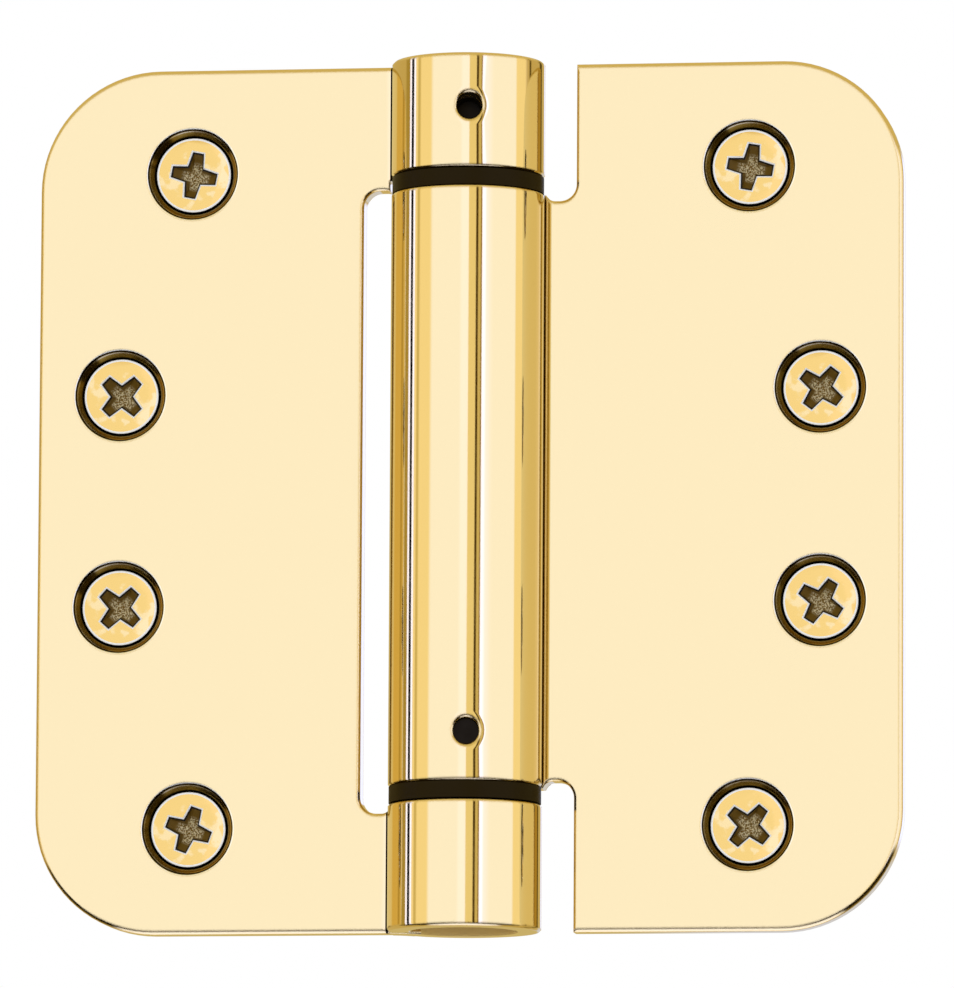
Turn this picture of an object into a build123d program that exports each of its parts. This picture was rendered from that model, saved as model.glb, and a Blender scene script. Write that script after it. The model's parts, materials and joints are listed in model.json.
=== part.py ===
from build123d import *
import math
import os

# Spring hinge, full mortise, laid open flat at 180 degrees.
# Millimetres. The pin axis is Z and the origin is on it, at the barrel's lower end.
# The frame leaf is on the -X side, the door leaf on the +X side, and both show
# their countersunk faces towards -Y. The screws point towards +Y.

# Leaves
leaf_height = 114.3
leaf_width = 57.15
sheet = 3.3
closed_gap = 3.2
corner_radius = 15.875
front_edge_bevel = 0.4
back_edge_bevel = 0.3

# Rolled barrel
barrel_radius = 10.05
bend_radius = 6.7
seam_gap = 0.3
knuckle_rim = 0.3
top_knuckle = 15.1
bottom_knuckle = 16.6
tip_recess_radius = 7.0
tip_recess_depth = 8.2

# Slots beside the barrel, where the other leaf's knuckles turn
slot_width = 4.05
slot_outer_round = 2.2
slot_inner_round = 1.3
slot_overlap = 0.1
slot_edge_bevel = 0.3
turning_gap = 0.55
frame_slot_above = 0.95
frame_slot_below = 3.15
door_tab_top_relief = 0.75
door_tab_bottom_relief = 0.9

# Screw holes and screws
inner_hole_x = 36.9
outer_hole_x = 46.3
end_hole_z = 43.3
middle_hole_z = 14.0
sink_mouth_radius = 6.05
sink_half_angle = 41.0
head_depth = 0.9
head_rim = 0.2
head_clearance = 0.1
shank_radius = 2.74
screw_length = 31.75
screw_point = 0.8
recess_span = 6.1
recess_floor_span = 2.4
recess_arm = 1.5
recess_depth = 2.5
recess_web = 1.7
frame_screw_turns = (11.0, 45.0, 42.0, 20.0)
door_screw_turns = (10.0, 37.0, 32.0, 40.0)

# Radial pin holes in the barrel
pin_hole_radius = 1.7
pin_hole_bevel = 0.3
pin_hole_side_angle = 8.5
tension_hole_from_top = 7.0
anchor_hole_above_end = 6.5

# Bearings
flange_thickness = 2.15
flange_gap = 0.1
flange_inset = 0.1
hub_length = 4.5
fit_gap = 0.05
bearing_wall = 1.05
washer_thickness = 0.8
washer_play = 0.1

# Tension adjuster
ring_depth = 1.2
ring_thickness = 1.0
ring_groove_depth = 0.65
ring_width = 1.75
ring_opening = 50.0
hex_flats = 4.0
hex_depth = 4.5
adjuster_holes = 4
adjuster_hole_radius = 1.5
adjuster_hole_depth = 3.4
adjuster_reach = 2.4
rod_socket_depth = 8.5

# Spring, its anchor and the rod inside it
anchor_length = 7.0
anchor_pin_inset = 1.2
anchor_pin_depth = 3.3
wire_width = 2.2
coil_gap = 1.25
spring_turns = 7
ramp_angle = 40.0
tang_angle = 90.0
tang_length = 2.6
tang_gap = 0.15
rod_gap = 0.9
rod_seat_depth = 6.5

# Worked out from the sizes above
slot_edge = barrel_radius + slot_width
leaf_front = closed_gap / 2
leaf_back = leaf_front + sheet
bore_radius = barrel_radius - sheet
roll_radius = barrel_radius - sheet / 2
sheet_middle = leaf_front + sheet / 2
bend_angle = math.acos((sheet_middle + bend_radius) / (roll_radius + bend_radius))
bend_start = (roll_radius + bend_radius) * math.sin(bend_angle)
bend_centre_y = sheet_middle + bend_radius
centre_z = leaf_height / 2
flange_space = flange_thickness + flange_gap
centre_bottom = bottom_knuckle + flange_space
centre_top = leaf_height - top_knuckle - flange_space
top_bottom = leaf_height - top_knuckle
tension_hole_z = leaf_height - tension_hole_from_top
anchor_hole_z = centre_bottom + anchor_hole_above_end
plug_radius = bore_radius - fit_gap
bearing_bore = plug_radius - bearing_wall
spigot_radius = bearing_bore - fit_gap
flange_radius = barrel_radius - flange_inset
ring_bottom = leaf_height - ring_depth - ring_thickness
adjuster_top = ring_bottom - flange_gap
washer_bottom = top_bottom + fit_gap
adjuster_shoulder = washer_bottom + washer_thickness + washer_play
upper_hub_bottom = centre_top - hub_length
adjuster_bottom = upper_hub_bottom - adjuster_reach
lower_hub_top = centre_bottom + hub_length
pivot_top = lower_hub_top - tang_gap
rod_seat_bottom = pivot_top - rod_seat_depth
anchor_bottom = lower_hub_top + tang_gap
anchor_top = anchor_bottom + anchor_length
screw_face = leaf_front + head_depth
coil_radius = bore_radius - coil_gap - wire_width / 2
rod_radius = coil_radius - wire_width / 2 - rod_gap
hole_direction = math.radians(pin_hole_side_angle)
slope = math.tan(math.radians(sink_half_angle))
head_radius = sink_mouth_radius - slope * (head_depth + head_rim) - head_clearance


def solid_of(shape):
    """The one solid that a shape holds, with the seams between its like faces removed."""
    return shape.clean().solids().sort_by(SortBy.VOLUME)[-1]


def write(shape, name):
    """Write one piece to parts/NAME.step."""
    shape.label = name
    export_step(shape, f"parts/{name}.step")


def tube(outer, inner, low, high):
    """A plain ring about the pin axis, from height low to high."""
    ring = Circle(outer) - Circle(inner)
    return extrude(Plane.XY.offset(low) * ring, high - low)


def rod(radius, low, high):
    """A plain cylinder on the pin axis, from height low to high."""
    return extrude(Plane.XY.offset(low) * Circle(radius), high - low)


def radial_rod(radius, near, far, height, turn=0.0):
    """A cylinder that points out from the pin axis, along the pin holes' direction."""
    angle = hole_direction + math.radians(turn)
    outward = Vector(math.sin(angle), -math.cos(angle), 0)
    start = Plane(origin=outward * near + Vector(0, 0, height), z_dir=outward)
    return extrude(start * Circle(radius), far - near)


def radial_cone(low_radius, high_radius, near, far, height):
    """A cone on the pin holes' direction, for the bevel at a hole's mouth."""
    outward = Vector(math.sin(hole_direction), -math.cos(hole_direction), 0)
    middle = Plane(origin=outward * ((near + far) / 2) + Vector(0, 0, height), z_dir=outward)
    return middle * Cone(low_radius, high_radius, far - near)


def roll_start_angle():
    """Angle about the pin axis where the bend runs into the roll, on the +X side."""
    return math.pi / 2 - bend_angle


def roll_end_angle():
    """Angle at which the rolled sheet ends, a seam's width short of the leaf's front."""
    return 2 * math.pi + math.asin((leaf_front - seam_gap) / barrel_radius)


def roll_section():
    """The sheet's section where it leaves the leaf, bends back and rolls into the barrel."""
    front_bend = bend_radius + sheet / 2
    back_bend = bend_radius - sheet / 2
    centre = Vector(bend_start, bend_centre_y)

    def on_bend(radius, angle):
        return centre + Vector(-radius * math.sin(angle), -radius * math.cos(angle))

    def on_barrel(radius, angle):
        return Vector(radius * math.cos(angle), radius * math.sin(angle))

    start_angle = roll_start_angle()
    end_angle = roll_end_angle()
    middle_angle = (start_angle + end_angle) / 2
    front_half = on_bend(front_bend, bend_angle / 2)
    back_half = on_bend(back_bend, bend_angle / 2)
    edges = [
        Line((slot_edge, leaf_back), (slot_edge, leaf_front)),
        Line((slot_edge, leaf_front), on_bend(front_bend, 0)),
        ThreePointArc(on_bend(front_bend, 0), front_half, on_bend(front_bend, bend_angle)),
        ThreePointArc(
            on_barrel(bore_radius, start_angle),
            on_barrel(bore_radius, middle_angle),
            on_barrel(bore_radius, end_angle),
        ),
        Line(on_barrel(bore_radius, end_angle), on_barrel(barrel_radius, end_angle)),
        ThreePointArc(
            on_barrel(barrel_radius, end_angle),
            on_barrel(barrel_radius, middle_angle),
            on_barrel(barrel_radius, start_angle),
        ),
        ThreePointArc(on_bend(back_bend, bend_angle), back_half, on_bend(back_bend, 0)),
        Line(on_bend(back_bend, 0), (slot_edge, leaf_back)),
    ]
    return make_face(edges)


def leaf_plate():
    """The flat of a leaf on the +X side, with its two round corners and bevelled edges."""
    width = leaf_width - slot_edge
    middle = slot_edge + width / 2
    blank = Rectangle(width, leaf_height)
    outer = blank.vertices().group_by(Axis.X)[-1]
    blank = fillet(outer, corner_radius)
    front = Plane(origin=(middle, leaf_front, centre_z), x_dir=(1, 0, 0), z_dir=(0, -1, 0))
    plate = extrude(front * blank, -sheet)
    inner_x = slot_edge + fit_gap
    rim = plate.edges().filter_by(lambda edge: edge.center().X > inner_x)
    front_rim = rim.filter_by(lambda edge: abs(edge.center().Y - leaf_front) < fit_gap)
    plate = chamfer(front_rim, front_edge_bevel)
    rim = plate.edges().filter_by(lambda edge: edge.center().X > inner_x)
    back_rim = rim.filter_by(lambda edge: abs(edge.center().Y - leaf_back) < fit_gap)
    return chamfer(back_rim, back_edge_bevel)


def slot_outline(low, high, grow, y, facing):
    """The slot's outline at depth y, wider by grow except towards the barrel."""
    inner_x = barrel_radius - slot_overlap
    width = slot_edge + grow - inner_x
    shape = Rectangle(width, high - low + 2 * grow)
    outer = shape.vertices().group_by(Axis.X)[-1]
    shape = fillet(outer, slot_outer_round + grow)
    inner = shape.vertices().group_by(Axis.X)[0]
    shape = fillet(inner, slot_inner_round)
    middle = (inner_x + width / 2, y, (low + high) / 2)
    return Plane(origin=middle, x_dir=(1, 0, 0), z_dir=(0, facing, 0)) * shape


def slot_prism(low, high):
    """The round-ended slot beside the barrel, on the +X side, with its edges bevelled."""
    grow = slot_edge_bevel + fit_gap
    slot = extrude(slot_outline(low, high, 0, 0, -1), 2 * barrel_radius, both=True)
    slot += extrude(slot_outline(low, high, grow, leaf_front - fit_gap, 1), grow, taper=45)
    slot += extrude(slot_outline(low, high, grow, leaf_back + fit_gap, -1), grow, taper=45)
    return slot


def knuckle_room(low, high):
    """What is cut away where the other leaf's knuckle turns."""
    reach = barrel_radius + turning_gap
    swept = rod(reach, low, high)
    behind = Pos(0, 0, low) * Box(
        reach, 2 * reach, high - low, align=(Align.MIN, Align.MIN, Align.MIN)
    )
    return swept + behind


def countersinks(side):
    """The four countersunk holes of a leaf, as solids to cut away."""
    depth = sheet + 2 * fit_gap
    mouth = sink_mouth_radius + slope * fit_gap
    floor = mouth - slope * depth
    cones = []
    for x, z in screw_places(side):
        place = Plane(origin=(x, leaf_front - fit_gap + depth / 2, z), z_dir=(0, 1, 0))
        cones.append(place * Cone(mouth, floor, depth))
    return cones


def screw_places(side):
    """Centres (x, z) of a leaf's holes from the top down: side is -1 for frame, 1 for door."""
    xs = (inner_hole_x, outer_hole_x, outer_hole_x, inner_hole_x)
    zs = (end_hole_z, middle_hole_z, -middle_hole_z, -end_hole_z)
    return [(side * x, centre_z + z) for x, z in zip(xs, zs)]


def end_bevel(height, upward):
    """What carries the plate's two bevels on along the bend, at one end of the leaf."""
    cuts = []
    for face, inward, bevel in (
        (leaf_front, 1, front_edge_bevel),
        (leaf_back, -1, back_edge_bevel),
    ):
        outside = face - inward * bevel
        past = height + upward * bevel
        triangle = make_face(
            Polyline(
                (outside, past),
                (face + 2 * inward * bevel, past),
                (outside, height - 2 * upward * bevel),
                close=True,
            )
        )
        start = Plane.YZ.offset(barrel_radius)
        cuts.append(extrude(start * triangle, slot_edge - barrel_radius))
    return cuts


def rolled_leaf():
    """A whole leaf on the +X side, rolled along its full height, before its slots are cut."""
    leaf = leaf_plate() + extrude(roll_section(), leaf_height)
    for cut in end_bevel(0, -1) + end_bevel(leaf_height, 1):
        leaf -= cut
    return leaf


def bevel_rim(height, upward):
    """What is cut away to bevel the barrel's outer rim at one of a knuckle's ends."""
    out = upward * knuckle_rim
    triangle = make_face(
        Polyline(
            (barrel_radius - 2 * knuckle_rim, height + out),
            (barrel_radius + knuckle_rim, height + out),
            (barrel_radius + knuckle_rim, height - 2 * out),
            close=True,
        )
    )
    arc = roll_end_angle() - roll_start_angle()
    ring = revolve(Plane.XZ * triangle, Axis.Z, math.degrees(arc))
    return Rot(0, 0, math.degrees(roll_start_angle())) * ring


def bevel_knuckle(leaf, low, high):
    """Bevel both rims of a knuckle that reaches from height low to high."""
    return leaf - bevel_rim(low, -1) - bevel_rim(high, 1)


def pin_hole(height):
    """A radial hole through the barrel's front wall, with a bevelled mouth."""
    drill = radial_rod(pin_hole_radius, bore_radius / 2, barrel_radius + sheet, height)
    low = barrel_radius - pin_hole_bevel
    high = barrel_radius + pin_hole_bevel
    mouth = radial_cone(pin_hole_radius, pin_hole_radius + 2 * pin_hole_bevel, low, high, height)
    return drill + mouth


def frame_leaf():
    """Leaf with the two end knuckles: the long slot between them holds the centre knuckle."""
    leaf = rolled_leaf()
    leaf -= slot_prism(centre_bottom - frame_slot_below, centre_top + frame_slot_above)
    leaf -= knuckle_room(bottom_knuckle, top_bottom)
    leaf = bevel_knuckle(leaf, 0, bottom_knuckle)
    leaf = bevel_knuckle(leaf, top_bottom, leaf_height)
    leaf = mirror(leaf, Plane.YZ)
    leaf -= rod(tip_recess_radius, 0, tip_recess_depth)
    groove = bore_radius + ring_groove_depth
    leaf -= rod(groove, ring_bottom - fit_gap, ring_bottom + ring_thickness + fit_gap)
    leaf -= pin_hole(tension_hole_z)
    for cone in countersinks(-1):
        leaf -= cone
    return solid_of(leaf)


def door_leaf():
    """Leaf with the one long centre knuckle, cut back at both ends for the end knuckles."""
    leaf = rolled_leaf()
    past = 2 * slot_outer_round
    leaf -= slot_prism(centre_top - door_tab_top_relief, leaf_height + past)
    leaf -= slot_prism(-past, centre_bottom + door_tab_bottom_relief)
    leaf -= knuckle_room(centre_top, leaf_height)
    leaf -= knuckle_room(0, centre_bottom)
    leaf = bevel_knuckle(leaf, centre_bottom, centre_top)
    leaf -= pin_hole(anchor_hole_z)
    for cone in countersinks(1):
        leaf -= cone
    return solid_of(leaf)


def screw(turn):
    """Flat-head screw along +Z, head face at the origin, with its cross recess turned."""
    cone_depth = (head_radius - shank_radius) / slope
    body = revolve(
        Plane.XZ
        * make_face(
            Polyline(
                (0, 0),
                (head_radius, 0),
                (head_radius, head_rim),
                (shank_radius, head_rim + cone_depth),
                (shank_radius, screw_length - screw_point),
                (shank_radius - screw_point, screw_length),
                (0, screw_length),
                close=True,
            )
        ),
        Axis.Z,
    )
    arm = make_face(
        Polyline(
            (-recess_span / 2, -head_rim),
            (recess_span / 2, -head_rim),
            (recess_span / 2, 0),
            (recess_floor_span / 2, recess_depth),
            (-recess_floor_span / 2, recess_depth),
            (-recess_span / 2, 0),
            close=True,
        )
    )
    wing = extrude(Plane.XZ * arm, recess_arm / 2, both=True)
    web = Rot(0, 0, 45) * Box(
        recess_web, recess_web, recess_depth, align=(Align.CENTER, Align.CENTER, Align.MIN)
    )
    cross = wing + Rot(0, 0, 90) * wing + web
    return solid_of(body - Rot(0, 0, turn) * cross)


def seated_screw(side, number):
    """One of a leaf's four screws, in its hole, pointing towards +Y."""
    turns = frame_screw_turns if side < 0 else door_screw_turns
    x, z = screw_places(side)[number]
    place = Plane(origin=(x, screw_face, z), x_dir=(1, 0, 0), z_dir=(0, 1, 0))
    return place * screw(turns[number])


def bearing(flange_low, hub_low, hub_high):
    """Flanged bush: its flange parts two knuckles and its hub fills the centre knuckle."""
    flange = tube(flange_radius, bearing_bore, flange_low, flange_low + flange_thickness)
    hub = tube(plug_radius, bearing_bore, hub_low, hub_high)
    return solid_of(flange + hub)


def tang_slot(angle, low, high):
    """Open slot, from near the rod outwards, that takes the spring's straight end."""
    inner = coil_radius - wire_width / 2 - tang_gap
    width = wire_width + 2 * tang_gap
    block = Pos(inner, 0, low) * Box(
        barrel_radius, width, high - low, align=(Align.MIN, Align.CENTER, Align.MIN)
    )
    return Rot(0, 0, angle) * block


def tension_adjuster():
    """Plug in the top knuckle: hex socket, ring of pin holes, journal and spring slot."""
    body = rod(plug_radius, adjuster_shoulder, adjuster_top)
    body += rod(spigot_radius, adjuster_bottom, adjuster_shoulder)
    hexagon = Plane.XY.offset(adjuster_top) * RegularPolygon(
        hex_flats / 2, 6, major_radius=False
    )
    body -= extrude(hexagon, -hex_depth)
    for number in range(adjuster_holes):
        turn = 360 * number / adjuster_holes
        near = plug_radius - adjuster_hole_depth
        body -= radial_rod(adjuster_hole_radius, near, barrel_radius, tension_hole_z, turn)
    body -= rod(rod_radius + fit_gap, adjuster_bottom, adjuster_bottom + rod_socket_depth)
    slot_depth = tang_length + tang_gap
    body -= tang_slot(-tang_angle, adjuster_bottom, adjuster_bottom + slot_depth)
    return solid_of(body)


def retaining_ring():
    """Open snap ring in the top knuckle's groove, which keeps the adjuster down."""
    outer = bore_radius + ring_groove_depth - fit_gap
    ring = tube(outer, outer - ring_width, ring_bottom, ring_bottom + ring_thickness)
    half = math.radians(ring_opening / 2)
    far = 2 * barrel_radius
    wedge = make_face(
        Polyline(
            (0, 0),
            (far * math.cos(half), far * math.sin(half)),
            (far * math.cos(half), -far * math.sin(half)),
            close=True,
        )
    )
    opening = extrude(Plane.XY.offset(ring_bottom - ring_thickness) * wedge, 3 * ring_thickness)
    return solid_of(ring - Rot(0, 0, 90) * opening)


def thrust_washer():
    """Flat washer under the adjuster's shoulder."""
    high = washer_bottom + washer_thickness
    return solid_of(tube(plug_radius, bearing_bore, washer_bottom, high))


def lower_pivot():
    """Plug fixed in the bottom knuckle: its journal carries the door leaf's lower bush."""
    high = bottom_knuckle - fit_gap
    body = rod(plug_radius, tip_recess_depth, high)
    body += rod(spigot_radius, high, pivot_top)
    rim = body.edges().group_by(Axis.Z)[0]
    body = chamfer(rim, knuckle_rim)
    body -= rod(rod_radius + fit_gap, rod_seat_bottom, lower_hub_top)
    return solid_of(body)


def spring_anchor():
    """Plug pinned in the centre knuckle, which holds the spring's lower end."""
    body = rod(plug_radius, anchor_bottom, anchor_top)
    body -= rod(rod_radius + tang_gap, anchor_bottom, anchor_top)
    near = plug_radius - anchor_pin_depth
    body -= radial_rod(pin_hole_radius, near, barrel_radius, anchor_hole_z)
    slot_depth = tang_length + tang_gap
    body -= tang_slot(tang_angle, anchor_top - slot_depth, anchor_top)
    return solid_of(body)


def anchor_pin():
    """Dowel through the centre knuckle's wall into the spring anchor."""
    near = plug_radius - anchor_pin_depth + fit_gap
    far = barrel_radius - anchor_pin_inset
    return solid_of(radial_rod(pin_hole_radius - fit_gap, near, far, anchor_hole_z))


def centre_rod():
    """Rod that stands in the lower pivot and keeps the spring and the adjuster in line."""
    high = adjuster_bottom + rod_socket_depth - tang_gap
    body = rod(rod_radius, rod_seat_bottom + fit_gap, high)
    return solid_of(chamfer(body.edges().group_by(Axis.Z)[-1], knuckle_rim))


def level_turn(height, start, stop):
    """A level stretch of the coil at one height, between two angles in degrees."""
    section = Plane.XZ * Pos(coil_radius, height) * Rectangle(wire_width, wire_width)
    return Rot(0, 0, start) * revolve(section, Axis.Z, stop - start)


def ramp(low, high, middle):
    """The short slanted stretch that lifts the coil from one turn to the next."""
    half_step = coil_radius * math.radians(ramp_angle / 2) + wire_width / 4
    half_wire = wire_width / 2
    side = make_face(
        Polyline(
            (-half_step, low - half_wire),
            (half_step, high - half_wire),
            (half_step, high + half_wire),
            (-half_step, low + half_wire),
            close=True,
        )
    )
    plane = Plane(origin=(coil_radius, 0, 0), x_dir=(0, 1, 0), z_dir=(1, 0, 0))
    return Rot(0, 0, middle) * extrude(plane * side, half_wire - fit_gap, both=True)


def torsion_spring():
    """Square-wire coil, one end bent down into the anchor and the other up."""
    low = anchor_top + tang_gap + wire_width / 2
    high = adjuster_bottom - tang_gap - wire_width / 2
    pitch = (high - low) / (spring_turns - 1)
    coil = level_turn(low, 0, 360)
    for number in range(1, spring_turns):
        height = low + number * pitch
        coil += ramp(height - pitch, height, ramp_angle / 2)
        coil += level_turn(height, ramp_angle, 360)
    reach = wire_width / 2 + tang_gap + tang_length
    side = wire_width - 2 * fit_gap
    shank = Box(side, side, reach, align=(Align.CENTER, Align.CENTER, Align.MIN))
    lower = Rot(0, 0, tang_angle) * Pos(coil_radius, 0, low - reach) * shank
    upper = Rot(0, 0, -tang_angle) * Pos(coil_radius, 0, high) * shank
    return solid_of(coil + lower + upper)


os.makedirs("parts", exist_ok=True)

write(frame_leaf(), "frame_leaf")
write(door_leaf(), "door_leaf")
write(bearing(centre_top, upper_hub_bottom, centre_top), "upper_bearing")
write(bearing(centre_bottom - flange_thickness, centre_bottom, lower_hub_top), "lower_bearing")
write(tension_adjuster(), "tension_adjuster")
write(retaining_ring(), "retaining_ring")
write(thrust_washer(), "thrust_washer")
write(lower_pivot(), "lower_pivot")
write(spring_anchor(), "spring_anchor")
write(anchor_pin(), "anchor_pin")
write(centre_rod(), "centre_rod")
write(torsion_spring(), "torsion_spring")
for index in range(4):
    write(seated_screw(-1, index), f"frame_screw_{index + 1}")
    write(seated_screw(1, index), f"door_screw_{index + 1}")
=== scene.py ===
"""Studio picture of a polished brass spring hinge, laid open flat, with its eight screws.

Lengths in the classes are millimetres, or metres where a name ends in _m, and everything
placed in Blender is metres.
"""

import json
import logging
import math
from dataclasses import dataclass

import bmesh
import bpy
from mathutils import Matrix, Vector

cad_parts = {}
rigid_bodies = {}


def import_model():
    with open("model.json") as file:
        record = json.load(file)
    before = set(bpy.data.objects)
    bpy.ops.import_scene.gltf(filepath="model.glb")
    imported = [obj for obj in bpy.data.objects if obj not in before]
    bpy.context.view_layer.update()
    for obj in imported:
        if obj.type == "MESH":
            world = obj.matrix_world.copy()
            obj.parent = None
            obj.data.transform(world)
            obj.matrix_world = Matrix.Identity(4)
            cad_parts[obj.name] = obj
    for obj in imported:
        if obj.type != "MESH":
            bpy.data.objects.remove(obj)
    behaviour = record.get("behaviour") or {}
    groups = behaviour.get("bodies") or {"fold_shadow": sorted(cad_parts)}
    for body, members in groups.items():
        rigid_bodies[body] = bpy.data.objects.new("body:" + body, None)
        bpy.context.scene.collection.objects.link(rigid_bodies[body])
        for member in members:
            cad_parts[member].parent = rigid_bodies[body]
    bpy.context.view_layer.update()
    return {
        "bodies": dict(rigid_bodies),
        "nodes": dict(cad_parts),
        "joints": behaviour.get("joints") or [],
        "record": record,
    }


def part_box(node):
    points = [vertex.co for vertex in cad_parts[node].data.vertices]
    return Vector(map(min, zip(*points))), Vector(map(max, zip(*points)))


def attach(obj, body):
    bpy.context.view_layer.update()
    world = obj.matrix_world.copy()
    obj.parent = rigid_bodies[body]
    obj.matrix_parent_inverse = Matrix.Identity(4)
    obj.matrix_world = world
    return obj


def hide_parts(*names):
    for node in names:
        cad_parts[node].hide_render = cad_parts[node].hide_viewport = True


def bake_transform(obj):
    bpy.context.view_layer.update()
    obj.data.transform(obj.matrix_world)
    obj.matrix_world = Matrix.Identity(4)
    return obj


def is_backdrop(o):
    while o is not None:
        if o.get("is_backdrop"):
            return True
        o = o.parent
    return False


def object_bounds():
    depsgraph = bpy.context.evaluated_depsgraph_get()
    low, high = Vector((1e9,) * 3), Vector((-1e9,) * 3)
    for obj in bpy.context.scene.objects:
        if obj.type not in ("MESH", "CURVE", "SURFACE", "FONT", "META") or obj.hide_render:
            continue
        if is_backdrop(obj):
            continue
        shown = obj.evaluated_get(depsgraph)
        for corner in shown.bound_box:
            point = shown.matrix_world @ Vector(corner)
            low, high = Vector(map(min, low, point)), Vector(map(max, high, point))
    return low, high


log = logging.getLogger("spring_hinge")

MM = 0.001

Tree = bpy.types.NodeTree
Socket = bpy.types.NodeSocket


def linear(hex_colour: str) -> tuple[float, float, float, float]:
    """Turn an sRGB hex colour into the linear colour that a shader takes.

    Args:
        hex_colour: six hex digits, with or without a leading hash.

    Returns:
        Red, green, blue and an alpha of 1, in linear light.
    """
    digits = hex_colour.lstrip("#")
    parts = [int(digits[i : i + 2], 16) / 255 for i in (0, 2, 4)]
    red, green, blue = (
        part / 12.92 if part <= 0.04045 else ((part + 0.055) / 1.055) ** 2.4 for part in parts
    )
    return (red, green, blue, 1.0)


def add_node(
    tree: Tree,
    kind: str,
    settings: dict[str, object] | None = None,
    links: dict[str | int, object] | None = None,
) -> bpy.types.Node:
    """Add a shader node, set it up and link what feeds it.

    Args:
        tree: the node tree that takes the node.
        kind: the node's type name, such as ShaderNodeMath.
        settings: properties of the node by name.
        links: for each input, by name or number, an output socket or a plain value.

    Returns:
        The new node.
    """
    node = tree.nodes.new(kind)
    for name, value in (settings or {}).items():
        setattr(node, name, value)
    for key, value in (links or {}).items():
        if isinstance(value, Socket):
            tree.links.new(value, node.inputs[key])
        else:
            node.inputs[key].default_value = value
    return node


def new_object(name: str, data: bpy.types.ID) -> bpy.types.Object:
    """Put a mesh or a camera into the scene.

    Args:
        name: the object's name.
        data: its mesh or camera.

    Returns:
        The new object.
    """
    piece = bpy.data.objects.new(name, data)
    bpy.context.scene.collection.objects.link(piece)
    return piece


def put_on(piece: bpy.types.Object, *materials: bpy.types.Material) -> None:
    """Put materials in a piece's slots, in order.

    Args:
        piece: the object to dress.
        materials: its materials.
    """
    piece.data.materials.clear()
    for material in materials:
        piece.data.materials.append(material)


def product(tree: Tree, shares: list[Socket]) -> Socket:
    """Multiply shares from 0 to 1.

    Args:
        tree: the node tree.
        shares: one share or more.

    Returns:
        Their product.
    """
    total = shares[0]
    for share in shares[1:]:
        both = add_node(tree, "ShaderNodeMath", {"operation": "MULTIPLY"}, {0: total, 1: share})
        total = both.outputs[0]
    return total


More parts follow.
